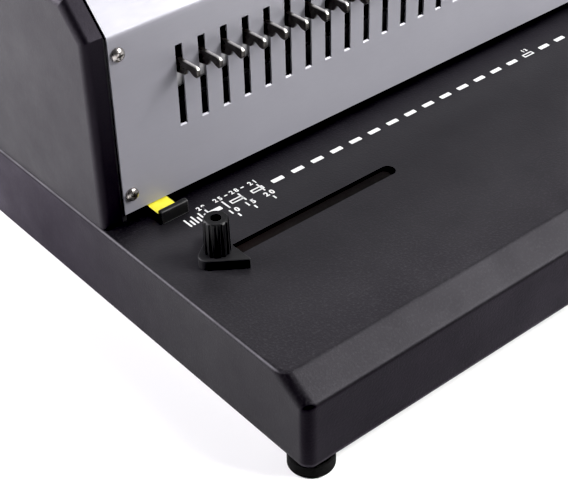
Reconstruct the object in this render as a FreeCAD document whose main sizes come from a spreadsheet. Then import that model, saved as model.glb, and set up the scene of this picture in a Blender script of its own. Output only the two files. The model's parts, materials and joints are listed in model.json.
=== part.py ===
import FreeCAD, Part
import Sketcher
import math
import os

# Comb binding machine. Millimetres. X to the right, Y to the back, Z up,
# the floor at Z = 0 and X = 0 in the middle of the row of slots.

V = FreeCAD.Vector
doc = FreeCAD.newDocument("comb_binding_machine")
sheet = doc.addObject("Spreadsheet::Sheet", "dims")


class Size:
    """A length that knows its number and the sheet expression it came from."""

    def __init__(self, number, text):
        self.n = number
        self.e = text

    def _mix(self, other, sign, swap=False):
        o = other if isinstance(other, Size) else Size(float(other), "(%.9g)" % other)
        a, b = (o, self) if swap else (self, o)
        if sign == "+":
            n = a.n + b.n
        elif sign == "-":
            n = a.n - b.n
        elif sign == "*":
            n = a.n * b.n
        else:
            n = a.n / b.n
        return Size(n, "(%s %s %s)" % (a.e, sign, b.e))

    def __add__(self, o):
        return self._mix(o, "+")

    def __radd__(self, o):
        return self._mix(o, "+", True)

    def __sub__(self, o):
        return self._mix(o, "-")

    def __rsub__(self, o):
        return self._mix(o, "-", True)

    def __mul__(self, o):
        return self._mix(o, "*")

    def __rmul__(self, o):
        return self._mix(o, "*", True)

    def __truediv__(self, o):
        return self._mix(o, "/")

    def __neg__(self):
        return self._mix(-1.0, "*")


TABLE = [
    ("base_width", 398.0), ("base_front", -150.0), ("base_back", 150.0),
    ("foot_height", 8.0), ("tray_level", 57.0), ("base_wall", 2.4),
    ("chamfer_depth", 16.5), ("chamfer_drop", 10.0), ("base_corner", 6.0),
    ("foot_radius", 12.0), ("foot_x", 186.4), ("rear_foot_x", 174.0), ("foot_y", 138.0),
    ("slot_pitch", 14.2875), ("slot_first", -142.875), ("slot_width", 4.6),
    ("slot_low", 100.6), ("slot_high", 147.8),
    ("panel_face", 12.0), ("sheet_thick", 1.2), ("panel_low", 61.4), ("panel_fold", 166.6),
    ("panel_half", 184.3), ("roof_level", 181.8),
    ("cheek_outer", 198.0), ("cheek_inner", 186.2), ("cheek_face", 12.0),
    ("cheek_bend", 168.0), ("cheek_top", 185.0), ("cheek_back", 141.5), ("cheek_wall", 2.4),
    ("frame_inner", 183.0), ("frame_outer", 186.0),
    ("shaft_y", 60.0), ("shaft_z", 120.0), ("shaft_radius", 6.0),
    ("sleeve_radius", 9.0),
    ("punch_line", 28.0), ("die_low", 49.0), ("guide_low", 61.5), ("guide_high", 69.5),
    ("beam_low", 95.0), ("beam_high", 107.0), ("beam_front", 22.0), ("beam_back", 36.0),
    ("punch_length", 8.0), ("punch_thick", 3.0), ("punch_tip", 61.9),
    ("carriage_front", 13.6), ("carriage_back", 16.8),
    ("hook_thick", 2.2), ("hook_top", 141.0), ("hook_tip", -4.4),
    ("screw_x", 179.3), ("screw_low", 72.8), ("screw_high", 156.0),
    ("tray_slot_left", -177.0), ("tray_slot_right", -45.4), ("tray_slot_y", -44.8), ("tray_slot_wide", 8.8),
    ("stop_x", -167.8), ("stop_y", -45.3), ("stop_top", 63.0),
    ("knob_foot_radius", 6.95), ("knob_top_radius", 6.6), ("knob_top", 83.5),
    ("tab_left", -169.9), ("tab_right", -156.9), ("tab_top", 59.8),
    ("drawer_half", 163.0), ("drawer_low", 10.4), ("drawer_high", 36.0),
    ("lever_length", 196.0), ("lever_lean", 15.0), ("row_shift", -12.8), ("row_lift", 3.3),
]
row = 1
D = {}
for word, number in TABLE:
    sheet.set("A%d" % row, word)
    sheet.set("B%d" % row, "%.9g" % number)
    sheet.setAlias("B%d" % row, word)
    D[word] = Size(number, "dims.%s" % word)
    row += 1
doc.recompute()


def num(v):
    return v.n if isinstance(v, Size) else float(v)


def bind(obj, prop, v):
    if isinstance(v, Size):
        obj.setExpression(prop, v.e)


KEEP = []


def keep(obj, node):
    obj.Label = node
    KEEP.append((node, obj))
    return obj


count = [0]


def fresh(stem):
    count[0] += 1
    return "%s_%03d" % (stem, count[0])


# ---- primitives -------------------------------------------------------------
def place(obj, x, y, z, rot=None):
    obj.Placement = FreeCAD.Placement(V(num(x), num(y), num(z)), rot or FreeCAD.Rotation())
    bind(obj, ".Placement.Base.x", x)
    bind(obj, ".Placement.Base.y", y)
    bind(obj, ".Placement.Base.z", z)


def box(x0, x1, y0, y1, z0, z1):
    b = doc.addObject("Part::Box", fresh("block"))
    for prop, lo, hi in (("Length", x0, x1), ("Width", y0, y1), ("Height", z0, z1)):
        d = hi - lo
        setattr(b, prop, num(d))
        bind(b, prop, d)
    place(b, x0, y0, z0)
    return b


TURN = {"z": FreeCAD.Rotation(), "x": FreeCAD.Rotation(V(0, 1, 0), 90), "y": FreeCAD.Rotation(V(1, 0, 0), -90)}


def rod(axis, radius, start, length, a, b):
    """A cylinder along x, y or z; a and b are the two other coordinates in x, y, z order."""
    c = doc.addObject("Part::Cylinder", fresh("round"))
    c.Radius = num(radius)
    c.Height = num(length)
    bind(c, "Radius", radius)
    bind(c, "Height", length)
    at = {"x": (start, a, b), "y": (a, start, b), "z": (a, b, start)}[axis]
    place(c, at[0], at[1], at[2], TURN[axis])
    return c


def taper(axis, r1, r2, start, length, a, b):
    c = doc.addObject("Part::Cone", fresh("taper"))
    c.Radius1 = num(r1)
    c.Radius2 = num(r2)
    c.Height = num(length)
    bind(c, "Radius1", r1)
    bind(c, "Radius2", r2)
    bind(c, "Height", length)
    at = {"x": (start, a, b), "y": (a, start, b), "z": (a, b, start)}[axis]
    place(c, at[0], at[1], at[2], TURN[axis])
    return c


def fuse(*objs):
    if len(objs) == 1:
        return objs[0]
    f = doc.addObject("Part::MultiFuse", fresh("joined"))
    f.Shapes = list(objs)
    f.Refine = True
    return f


def group(objs):
    g = doc.addObject("Part::Compound", fresh("set"))
    g.Links = list(objs)
    return g


def cut(base, *tools):
    c = doc.addObject("Part::Cut", fresh("cutout"))
    c.Base = base
    c.Tool = tools[0] if len(tools) == 1 else group(tools)
    return c


def mirror(obj):
    m = doc.addObject("Part::Mirroring", fresh("mirrored"))
    m.Source = obj
    m.Normal = (1, 0, 0)
    m.Base = (0, 0, 0)
    return m


# ---- bodies with sketches ---------------------------------------------------
def new_body(stem):
    b = doc.addObject("PartDesign::Body", fresh(stem))
    doc.recompute()
    return b


def role(body, name):
    for f in body.Origin.OriginFeatures:
        if f.Role == name:
            return f


def sketch(body, plane, loops, level):
    s = body.newObject("Sketcher::SketchObject", fresh("sketch"))
    s.AttachmentSupport = [(role(body, plane + "_Plane"), "")]
    s.MapMode = "FlatFace"
    if plane == "XZ":
        level = -level
    s.AttachmentOffset = FreeCAD.Placement(V(0, 0, num(level)), FreeCAD.Rotation())
    bind(s, ".AttachmentOffset.Base.z", level)
    first = 0
    for loop in loops:
        if loop[0] == "ring":
            cx, cy, r = loop[1:]
            g = s.addGeometry(Part.Circle(V(num(cx), num(cy), 0), V(0, 0, 1), num(r)), False)
            for kind, v in (("DistanceX", cx), ("DistanceY", cy)):
                k = s.addConstraint(Sketcher.Constraint(kind, -1, 1, g, 3, num(v)))
                bind(s, "Constraints[%d]" % k, v)
            k = s.addConstraint(Sketcher.Constraint("Radius", g, num(r)))
            bind(s, "Constraints[%d]" % k, r)
            first += 1
        else:
            pts = loop[1]
            n = len(pts)
            for i in range(n):
                p, q = pts[i], pts[(i + 1) % n]
                s.addGeometry(Part.LineSegment(V(num(p[0]), num(p[1]), 0), V(num(q[0]), num(q[1]), 0)), False)
            for i in range(n):
                s.addConstraint(Sketcher.Constraint("Coincident", first + i, 2, first + (i + 1) % n, 1))
            for i in range(n):
                for kind, v in (("DistanceX", pts[i][0]), ("DistanceY", pts[i][1])):
                    k = s.addConstraint(Sketcher.Constraint(kind, -1, 1, first + i, 1, num(v)))
                    bind(s, "Constraints[%d]" % k, v)
            first += n
    return s


def quad(x0, x1, y0, y1):
    return ("poly", [(x0, y0), (x1, y0), (x1, y1), (x0, y1)])


def raise_from(body, kind, plane, loops, lo, hi):
    """Pad or Pocket of a sketch between two levels along the plane's own axis."""
    s = sketch(body, plane, loops, hi if plane == "XZ" else lo)
    f = body.newObject("PartDesign::" + kind, fresh(kind.lower()))
    f.Profile = s
    d = hi - lo
    f.Length = num(d)
    bind(f, "Length", d)
    if kind == "Pocket":
        f.Reversed = True
    body.Tip = f
    doc.recompute()
    return f


def pad(body, plane, loops, lo, hi):
    return raise_from(body, "Pad", plane, loops, lo, hi)


def pocket(body, plane, loops, lo, hi):
    before = body.Shape.Volume
    f = raise_from(body, "Pocket", plane, loops, lo, hi)
    if not body.Shape.Volume < before - 1e-3:
        raise RuntimeError("pocket took nothing away in " + body.Name)
    return f


def repeat(body, feature, times, spacing):
    p = body.newObject("PartDesign::LinearPattern", fresh("row"))
    if feature is None:
        p.TransformMode = "Whole shape"
    else:
        p.Originals = [feature]
    p.Direction = (role(body, "X_Axis"), [""])
    p.Mode = "Spacing"
    p.Offset = num(spacing)
    bind(p, "Offset", spacing)
    p.Occurrences = times
    body.Tip = p
    doc.recompute()
    return p


def soften(body, radius, want):
    """Fillet the edges of the body whose middle and direction satisfy want."""
    doc.recompute()
    names = []
    for i, e in enumerate(body.Shape.Edges):
        m = e.valueAt((e.FirstParameter + e.LastParameter) / 2.0)
        b = e.BoundBox
        if want(m, b):
            names.append("Edge%d" % (i + 1))
    if not names:
        raise RuntimeError("no edge to round in " + body.Name)
    last = body.Tip
    f = body.newObject("PartDesign::Fillet", fresh("fillet"))
    f.Base = (last, names)
    f.Radius = num(radius)
    bind(f, "Radius", radius)
    body.Tip = f
    doc.recompute()
    if "Invalid" in f.State or f.Shape.isNull():
        raise RuntimeError("fillet failed in " + body.Name)
    return f


def near(a, b, t=0.05):
    return abs(a - b) < t


# ---- gear teeth -------------------------------------------------------------
def gear_points(module, teeth, cy, cz, phase, thin=0.16):
    """Outline of a spur gear in Y, Z; phase is the direction of one tooth's middle in radians."""
    a = math.radians(20.0)
    rp = module * teeth / 2.0
    rb = rp * math.cos(a)
    ra = rp + 0.9 * module
    rf = rp - 1.25 * module
    half = math.pi / (2.0 * teeth) - thin / 2.0 / rp
    inv = math.tan(a) - a

    def width(r):
        if r <= rb:
            return half + inv
        t = math.acos(rb / r)
        return half + inv - (math.tan(t) - t)

    radii = [max(rb, rf) + (ra - max(rb, rf)) * k / 7.0 for k in range(8)]
    out = []
    for k in range(teeth):
        c = phase + 2.0 * math.pi * k / teeth
        left = [(rf, -width(rf))] if rf < rb else []
        left += [(r, -width(r)) for r in radii]
        right = [(r, -w) for r, w in reversed(left)]
        for r, w in left + right:
            out.append((cy + r * math.cos(c + w), cz + r * math.sin(c + w)))
    return out


def rack_points(module, y_pitch, z_mid, low, high, back, face, thin=0.16):
    """Outline of a vertical rack in Y, Z. A space is centred at z_mid; face is +1 when the teeth look to +Y."""
    p = math.pi * module
    top = 0.9 * module
    root = 1.2 * module
    t = math.tan(math.radians(20.0))
    half = p / 4.0 - thin / 2.0
    pts = []
    k = math.ceil((low - z_mid) / p - 0.5)
    teeth = []
    while z_mid + (k + 0.5) * p + half + root * t < high:
        c = z_mid + (k + 0.5) * p
        if c - half - root * t > low:
            teeth.append(c)
        k += 1
    yr = y_pitch - face * root
    ya = y_pitch + face * top
    pts.append((back, low))
    pts.append((yr, low))
    for c in teeth:
        pts.append((yr, c - half - root * t))
        pts.append((ya, c - half + top * t))
        pts.append((ya, c + half - top * t))
        pts.append((yr, c + half + root * t))
    pts.append((yr, high))
    pts.append((back, high))
    return pts


def prism(points, x0, x1):
    """Toothed outline in Y, Z drawn out along X; a code-made profile, since the flanks are involutes."""
    w = Part.makePolygon([V(x0, y, z) for y, z in points] + [V(x0, points[0][0], points[0][1])])
    return Part.Face(w).extrude(V(x1 - x0, 0, 0))


def made(shape):
    f = doc.addObject("Part::Feature", fresh("profile"))
    f.Shape = shape
    return f


# ---- screws -----------------------------------------------------------------
def pan_screw(axis, sign, seat, a, b, head, high, shank, length):
    """Cross-recess pan head; the head stands on 'seat' toward sign, the shank goes the other way."""
    low = rod(axis, head, seat if sign > 0 else seat - high * 0.4, high * 0.4, a, b)
    dome = []
    for r1, r2, z1, z2 in ((1.0, 0.95, 0.40, 0.62), (0.95, 0.82, 0.62, 0.82), (0.82, 0.58, 0.82, 1.0)):
        if sign > 0:
            dome.append(taper(axis, head * r1, head * r2, seat + high * z1, high * (z2 - z1), a, b))
        else:
            dome.append(taper(axis, head * r2, head * r1, seat - high * z2, high * (z2 - z1), a, b))
    body = rod(axis, shank, seat - length if sign > 0 else seat - 0.2, length + 0.2, a, b)
    solid = fuse(low, *dome, body)
    w, l = head * 0.13, head * 0.52
    d0 = seat + high * 0.35 if sign > 0 else seat - high - 0.1
    d1 = seat + high + 0.1 if sign > 0 else seat - high * 0.35
    if axis == "x":
        c1 = box(d0, d1, a - w, a + w, b - l, b + l)
        c2 = box(d0, d1, a - l, a + l, b - w, b + w)
    elif axis == "y":
        c1 = box(a - w, a + w, d0, d1, b - l, b + l)
        c2 = box(a - l, a + l, d0, d1, b - w, b + w)
    else:
        c1 = box(a - w, a + w, b - l, b + l, d0, d1)
        c2 = box(a - l, a + l, b - w, b + w, d0, d1)
    return cut(solid, fuse(c1, c2))


# =============================================================================
# Base
# =============================================================================
W = D["base_width"] / 2
YF, YB = D["base_front"], D["base_back"]
ZF, ZT = D["foot_height"], D["tray_level"]
T = D["base_wall"]
CD, CH = D["chamfer_depth"], D["chamfer_drop"]

b = new_body("base")
pad(b, "YZ", [("poly", [(YF, ZF), (YB, ZF), (YB, ZT), (YF + CD, ZT), (YF, ZT - CH)])], -W, W)
wn = W.n
soften(b, 2.5, lambda m, q: q.XLength > 300 and near(m.y, YF.n, 0.5) and near(m.z, ZT.n - CH.n, 0.5))
soften(b, D["base_corner"], lambda m, q: near(abs(m.x), wn) and q.ZLength > 5 and q.YLength < 0.1)
soften(b, 1.9, lambda m, q: near(m.z, ZT.n, 0.05) and q.YLength > 200 and near(abs(m.x), wn, 0.05))
pocket(b, "YZ", [("poly", [(YF + T, ZF - 1), (YB - T, ZF - 1), (YB - T, ZT - T), (YF + CD + 1.0, ZT - T), (YF + T, ZT - CH - 1.4)])], -(W - T), W - T)
for px in (-188.0, 188.0):
    for py in (-118.0, 0.0, 118.0):
        pad(b, "XY", [("ring", px, py, 4.5)], ZF + 2, ZT - T + 0.4)
SL, SR, SY, SW = D["tray_slot_left"], D["tray_slot_right"], D["tray_slot_y"], D["tray_slot_wide"]
pocket(b, "XY", [quad(SL, SR, SY - SW / 2, SY + SW / 2)], ZT - T - 1, ZT + 1)
soften(b, 4.35, lambda m, q: q.ZLength > 1.5 and q.XLength < 0.1 and q.YLength < 0.1 and (near(m.x, SL.n) or near(m.x, SR.n)) and near(abs(m.y - SY.n), 4.4))
pocket(b, "XY", [quad(-178.4, 178.4, 17.6, 44.4)], ZT - T - 1, ZT + 1)
pocket(b, "XZ", [quad(-(D["drawer_half"] + 0.6), D["drawer_half"] + 0.6, 10.1, D["drawer_high"] + 0.6)], YB - T - 1, YB + 1)
for px in (-191.5, 191.5):
    for py in (30.0, 68.0, 106.0):
        pocket(b, "XY", [("ring", px, py, 1.9)], ZT - T - 1, ZT + 1)
keep(b, "base_housing")

b = new_body("floor")
pad(b, "XY", [quad(-(W - T - 0.3), W - T - 0.3, YF + T + 0.3, YB - T - 0.3)], ZF, ZF + 2)
for s in (-1, 1):
    pad(b, "XY", [quad(s * 164.0 if s > 0 else -168.0, 168.0 if s > 0 else -164.0, 6.0, 145.0)], ZF + 2, ZF + 20)
soften(b, 4.0, lambda m, q: near(q.ZLength, 2.0) and near(abs(m.x), (W - T).n - 0.3) and near(abs(m.y), YB.n - T.n - 0.3))
for px in (-188.0, 188.0):
    for py in (-118.0, 0.0, 118.0):
        pocket(b, "XY", [("ring", px, py, 1.9)], ZF - 1, ZF + 3)
for px in (-1, 1):
    for py in (-1, 1):
        pocket(b, "XY", [("ring", D["foot_x" if py < 0 else "rear_foot_x"] * px, D["foot_y"] * py, 2.2)], ZF - 1, ZF + 3)
keep(b, "base_bottom_plate")

keep(group([pan_screw("z", -1, ZF, px, py, 3.6, 2.4, 1.75, 14.0) for px in (-188.0, 188.0) for py in (-118.0, 0.0, 118.0)]), "bottom_plate_screws")

feet, foot_bolts = [], []
for px in (-1, 1):
    for py in (-1, 1):
        fx, fy = D["foot_x" if py < 0 else "rear_foot_x"] * px, D["foot_y"] * py
        low = D["row_lift"] * -1.0
        f = fuse(taper("z", D["foot_radius"] - 0.8, D["foot_radius"], low, 0.8, fx, fy), rod("z", D["foot_radius"], low + 0.8, 3.4 - low, fx, fy),
                 taper("z", D["foot_radius"], D["foot_radius"] - 0.8, 4.2, 0.8, fx, fy), rod("z", D["foot_radius"] - 1.4, 4.0, D["foot_height"] - 4.0, fx, fy))
        feet.append(cut(f, rod("z", 4.6, low - 1.0, 4.6 - low, fx, fy), rod("z", 2.2, low - 1.0, 16.0, fx, fy)))
        foot_bolts.append(pan_screw("z", -1, 3.6, fx, fy, 3.8, 2.4, 1.95, 9.0))
keep(group(feet), "rubber_feet")
keep(group(foot_bolts), "foot_screws")

# =============================================================================
# Side covers: hollow cheeks with a 45 degree front
# =============================================================================
CO, CI, CF, CB, CT, CR, CW = (D[k] for k in ("cheek_outer", "cheek_inner", "cheek_face", "cheek_bend", "cheek_top", "cheek_back", "cheek_wall"))
RISE = CT - CB
b = new_body("cheek")
pad(b, "YZ", [("poly", [(CF, ZT), (CR, ZT), (CR, CT - 24.0), (CR - 24.0, CT), (CF + RISE, CT), (CF, CB)])], -CO, -CI)
con = CO.n
soften(b, 4.4, lambda m, q: near(m.x, -con) and m.z > 60.0)
pocket(b, "YZ", [("poly", [(CF + CW, ZT - 1), (CR - CW, ZT - 1), (CR - CW, CT - 25.0), (CR - 25.0, CT - CW), (CF + RISE + 1.0, CT - CW), (CF + CW, CB - 1.0)])], -(CO - CW), -CI + 1)
keep(b, "left_side_cover")
right = mirror(b)
keep(cut(right, rod("x", 14.0, 180.0, 30.0, D["shaft_y"], D["shaft_z"])), "right_side_cover")

# =============================================================================
# Silver front panel and black top and rear cover
# =============================================================================
PF, PT, PL, PO, PH, RL = (D[k] for k in ("panel_face", "sheet_thick", "panel_low", "panel_fold", "panel_half", "roof_level"))
b = new_body("panel")
up = RL - PO
K = 0.41421356
pad(b, "YZ", [("poly", [(PF, PL), (PF + PT, PL), (PF + PT, PO - PT * K), (PF + up + PT * 1.0, RL - PT * K), (PF + up, RL), (PF, PO)])], -PH, PH)
soften(b, 3.0, lambda m, q: q.XLength > 300 and near(m.y, PF.n) and near(m.z, PO.n))
soften(b, 1.8, lambda m, q: q.XLength > 300 and near(m.y, PF.n + PT.n) and near(m.z, PO.n - PT.n * K))
x0 = D["slot_first"]
f = pocket(b, "XZ", [quad(x0 - D["slot_width"] / 2, x0 + D["slot_width"] / 2, D["slot_low"], D["slot_high"])], PF - 2, PF + 4)
repeat(b, f, 21, D["slot_pitch"])
# the lower lip of each slot is rolled over towards the front
f = pocket(b, "YZ", [("poly", [(PF - 0.2, D["slot_low"] - 0.95), (PF - 0.2, D["slot_low"] + 0.1), (PF + 0.85, D["slot_low"] + 0.1)])], x0 - D["slot_width"] / 2, x0 + D["slot_width"] / 2)
repeat(b, f, 21, D["slot_pitch"])
for sx in (-1, 1):
    for sz in ("screw_low", "screw_high"):
        pocket(b, "XZ", [("ring", D["screw_x"] * sx, D[sz], 2.2)], PF - 2, PF + 4)
keep(b, "front_panel")
keep(group([pan_screw("y", -1, PF, D["screw_x"] * sx, D[sz], 3.8, 2.6, 1.95, 7.0) for sx in (-1, 1) for sz in ("screw_low", "screw_high")]), "panel_screws")

RB = 137.5
b = new_body("hood")
pad(b, "YZ", [("poly", [(PF + up + PT + 0.5, RL - PT), (PF + up + PT + 0.5, RL), (RB - 20.0, RL), (RB, RL - 20.0), (RB, 57.4), (RB - PT, 57.4), (RB - PT, RL - 20.0 - PT * K), (RB - 20.0 - PT * K, RL - PT)])], -PH, PH)
soften(b, 3.0, lambda m, q: q.XLength > 300 and ((near(m.y, RB - 20.0) and near(m.z, RL.n)) or (near(m.y, RB) and near(m.z, RL.n - 20.0))))
for sx in (-1, 1):
    for hy in (46.0, 102.0):
        pocket(b, "XY", [("ring", 178.0 * sx, hy, 2.2)], RL - 3, RL + 2)
    for hz in (80.0, 148.0):
        pocket(b, "XZ", [("ring", 178.0 * sx, hz, 2.2)], RB - 3, RB + 2)
keep(b, "top_rear_cover")
keep(group([pan_screw("z", 1, RL, 178.0 * sx, hy, 3.8, 2.4, 1.95, 7.0) for sx in (-1, 1) for hy in (46.0, 102.0)]
           + [pan_screw("y", 1, RB, 178.0 * sx, hz, 3.8, 2.4, 1.95, 7.0) for sx in (-1, 1) for hz in (80.0, 148.0)]), "cover_screws")

# =============================================================================
# Inner frame
# =============================================================================
FI, FO = D["frame_inner"], D["frame_outer"]
SHY, SHZ, SHR, SLR = D["shaft_y"], D["shaft_z"], D["shaft_radius"], D["sleeve_radius"]
PB = PF + PT
for side in (-1, 1):
    b = new_body("side_plate")
    lo, hi = (-FO, -FI) if side < 0 else (FI, FO)
    pad(b, "YZ", [("poly", [(PB, ZT), (RB - PT, ZT), (RB - PT, RL - 21.0), (RB - 21.0, RL - PT), (PF + up + 1.2, RL - PT), (PB, PO - 1.0)])], lo, hi)
    flo, fhi = (-FI, -176.4) if side < 0 else (176.4, FI)
    pad(b, "XY", [quad(flo, fhi, PB, PB + 2)], 66.0, 163.0)
    flo, fhi = (-FI, -172.0) if side < 0 else (172.0, FI)
    pad(b, "XY", [quad(flo, fhi, 38.0, 112.0)], RL - PT - 2.0, RL - PT)
    pad(b, "XY", [quad(flo, fhi, RB - PT - 2.0, RB - PT)], 66.0, 156.0)
    olo, ohi = (-195.0, -FO) if side < 0 else (FO, 195.0)
    pad(b, "XY", [quad(olo, ohi, 26.0, 126.0)], ZT, ZT + 2)
    pocket(b, "YZ", [("ring", SHY, SHZ, 9.0 if side < 0 else 12.0)], lo - 1, hi + 1)
    for py in (30.0, 68.0, 106.0):
        pocket(b, "XY", [("ring", 191.5 * side, py, 1.9)], ZT - 1, ZT + 3)
    for py, pz in ((27.0, 138.0), (27.0, 101.0)):
        pocket(b, "YZ", [("ring", py, pz, 3.0)], lo - 1, hi + 1)
    for py, pz in ((100.0, 90.0), (100.0, 160.0)):
        pocket(b, "YZ", [("ring", py, pz, 2.6)], lo - 1, hi + 1)
    for py in (24.0, 40.0):
        pocket(b, "YZ", [("ring", py, 65.5, 2.1)], lo - 1, hi + 1)
    keep(b, "left_frame_plate" if side < 0 else "right_frame_plate")

bolts = []
for side in (-1, 1):
    for py in (30.0, 68.0, 106.0):
        bolts.append(pan_screw("z", 1, ZT + 2, 191.5 * side, py, 3.4, 2.2, 1.75, 9.0))
    for py, pz in ((100.0, 90.0), (100.0, 160.0)):
        bolts.append(pan_screw("x", side, FO * side, py, pz, 4.2, 2.6, 2.45, 14.0))
    for py in (24.0, 40.0):
        bolts.append(pan_screw("x", side, FO * side, py, 65.5, 3.6, 2.4, 1.95, 8.4))
keep(group(bolts), "frame_screws")
keep(group([cut(rod("x", 6.0, -FI, FI * 2, 100.0, pz), rod("x", 2.45, -FI - 1, 13.0, 100.0, pz), rod("x", 2.45, FI - 12.0, 13.0, 100.0, pz)) for pz in (90.0, 160.0)]), "frame_tie_rods")

X0 = D["slot_first"]
PCH = D["slot_pitch"]
PY = D["punch_line"]
PLN, PTH = D["punch_length"], D["punch_thick"]
b = new_body("die")
pad(b, "XY", [quad(-178.0, 178.0, 18.0, 44.0)], D["die_low"], ZT)
f = pocket(b, "XY", [quad(X0 - PLN / 2 - 0.06, X0 + PLN / 2 + 0.06, PY - PTH / 2 - 0.06, PY + PTH / 2 + 0.06)], D["die_low"] - 1, ZT + 1)
repeat(b, f, 21, PCH)
for px in (-174.75, 174.75):
    for py in (22.0, 40.0):
        pocket(b, "XY", [("ring", px, py, 2.1)], D["die_low"] - 1, ZT + 1)
keep(b, "die_plate")
b = new_body("guide")
GL, GH = D["guide_low"], D["guide_high"]
pad(b, "XY", [quad(-(FI - 0.2), FI - 0.2, 18.0, 50.0)], GL, GH)
f = pocket(b, "XY", [quad(X0 - PLN / 2 - 0.06, X0 + PLN / 2 + 0.06, PY - PTH / 2 - 0.06, PY + PTH / 2 + 0.06)], GL - 1, GH + 1)
repeat(b, f, 21, PCH)
for px in (-174.75, 174.75):
    for py in (22.0, 40.0):
        pocket(b, "XY", [("ring", px, py, 1.95)], GL - 1, GL + 6.0)
for px in (-110.0, 110.0):
    pocket(b, "XY", [("ring", px, 42.0, 4.0)], GH - 6.0, GH + 1)
for s in (-1, 1):
    lo, hi = (-(FI - 0.2) - 1, -(FI - 0.2) + 10.0) if s < 0 else (FI - 0.2 - 10.0, FI - 0.2 + 1)
    for py in (24.0, 40.0):
        pocket(b, "YZ", [("ring", py, 65.5, 1.95)], lo, hi)
keep(b, "punch_guide_plate")
spacers, die_bolts = [], []
for px in (-174.75, 174.75):
    s = box(px - 3.25, px + 3.25, 18.0, 44.0, ZT, GL)
    spacers.append(cut(s, rod("z", 2.1, ZT - 1, 8.0, px, 22.0), rod("z", 2.1, ZT - 1, 8.0, px, 40.0)))
    for py in (22.0, 40.0):
        die_bolts.append(pan_screw("z", -1, D["die_low"], px, py, 3.6, 2.4, 1.95, 17.0))
keep(group(spacers), "die_spacers")
keep(group(die_bolts), "die_bolts")
keep(group([fuse(rod("z", 4.0, GH - 6.0, 60.0, px, 42.0), taper("z", 4.0, 3.2, GH + 54.0, 1.0, px, 42.0)) for px in (-110.0, 110.0)]), "guide_posts")


def coil(px, py, z0, z1, radius, wire, turns):
    h = doc.addObject("Part::Helix", fresh("helix"))
    h.Pitch = (z1 - z0 - 2 * wire) / turns
    h.Height = z1 - z0 - 2 * wire
    h.Radius = radius
    h.Placement = FreeCAD.Placement(V(px, py, z0 + wire), FreeCAD.Rotation())
    c = doc.addObject("Part::Circle", fresh("wire"))
    c.Radius = wire
    c.Placement = FreeCAD.Placement(V(px + radius, py, z0 + wire), FreeCAD.Rotation(V(1, 0, 0), 90))
    s = doc.addObject("Part::Sweep", fresh("coil"))
    s.Sections = [c]
    s.Spine = (h, ["Edge1"])
    s.Solid = True
    s.Frenet = True
    return s


keep(group([coil(px, 42.0, GH.n + 0.15, D["beam_low"].n - 0.15, 5.2, 0.6, 6.0) for px in (-110.0, 110.0)]), "return_springs")


def bush(x_wall0, x_wall1, x_lip0, x_lip1, hole, outer, lip):
    lo = min(x_wall0, x_lip0)
    hi = max(x_wall1, x_lip1)
    solid = fuse(rod("x", outer, x_wall0, x_wall1 - x_wall0, SHY, SHZ), rod("x", lip, x_lip0, x_lip1 - x_lip0, SHY, SHZ))
    return cut(solid, rod("x", hole, lo - 1, hi - lo + 2, SHY, SHZ))


keep(bush(-186.0, -183.0, -183.0, -180.0, SHR + 0.05, 9.0, 11.5), "shaft_bush_left")
keep(bush(183.0, 186.0, 180.0, 183.0, SLR + 0.05, 12.0, 14.5), "sleeve_bush_right")

pins = []
for s in (-1, 1):
    for pz in (138.0, 101.0):
        lo = -FO if s < 0 else 168.6
        stem = rod("x", 3.0, lo, FO - 168.6, 27.0, pz)
        cap = rod("x", 4.6, -169.7 if s < 0 else 168.2, 1.5, 27.0, pz)
        pins.append(fuse(stem, cap))
keep(group(pins), "carriage_guide_pins")

# =============================================================================
# Punch shaft, punch beam and punches
# =============================================================================
M1, N1 = 1.25, 16
R1 = M1 * N1 / 2.0
keep(fuse(rod("x", SHR, -187.2, 187.2 + 208.4, SHY, SHZ), taper("x", SHR, SHR - 0.8, 208.4, 1.0, SHY, SHZ)), "punch_shaft")
pair = []
for lo, hi in ((-162.0, -150.0), (150.0, 162.0)):
    g = made(prism(gear_points(M1, N1, SHY.n, SHZ.n, math.pi), lo, hi))
    hub = rod("x", 9.0, hi if hi < 0 else lo - 6.0, 6.0, SHY, SHZ)
    pair.append(cut(fuse(g, hub), rod("x", SHR, lo - 8.0, hi - lo + 16.0, SHY, SHZ)))
keep(group(pair), "punch_pinions")
keep(cut(fuse(rod("x", 10.0, -179.4, 3.2, SHY, SHZ)), rod("x", SHR, -181.0, 8.0, SHY, SHZ)), "shaft_collar")

BL, BH, BF, BB = D["beam_low"], D["beam_high"], D["beam_front"], D["beam_back"]
b = new_body("beam")
pad(b, "XY", [quad(-166.0, 166.0, BF, BB)], BL, BH)
for s in (-1, 1):
    pad(b, "XY", [quad(110.0 * s - 8.0, 110.0 * s + 8.0, BB, 50.0)], BL, BH)
    pocket(b, "XY", [("ring", 110.0 * s, 42.0, 4.06)], BL - 1, BH + 1)
f = pocket(b, "XY", [quad(X0 - PLN / 2, X0 + PLN / 2, PY - PTH / 2, PY + PTH / 2)], BL - 1, BH + 1)
repeat(b, f, 21, PCH)
for px in (-128.59, -42.86, 42.86, 128.59):
    pocket(b, "XY", [("ring", px + 7.144, PY, 1.7)], BH - 8.0, BH + 1)
keep(b, "punch_beam")
b = new_body("punches")
pad(b, "XY", [quad(X0 - PLN / 2, X0 + PLN / 2, PY - PTH / 2, PY + PTH / 2)], D["punch_tip"], BH)
repeat(b, None, 21, PCH)
keep(b, "punch_pins")
b = new_body("clamp")
pad(b, "XY", [quad(-150.0, 150.0, BF + 1.0, BB - 1.0)], BH, BH + 2.0)
for px in (-128.59, -42.86, 42.86, 128.59):
    pocket(b, "XY", [("ring", px + 7.144, PY, 1.8)], BH - 1, BH + 3)
keep(b, "punch_clamp_bar")
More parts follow.
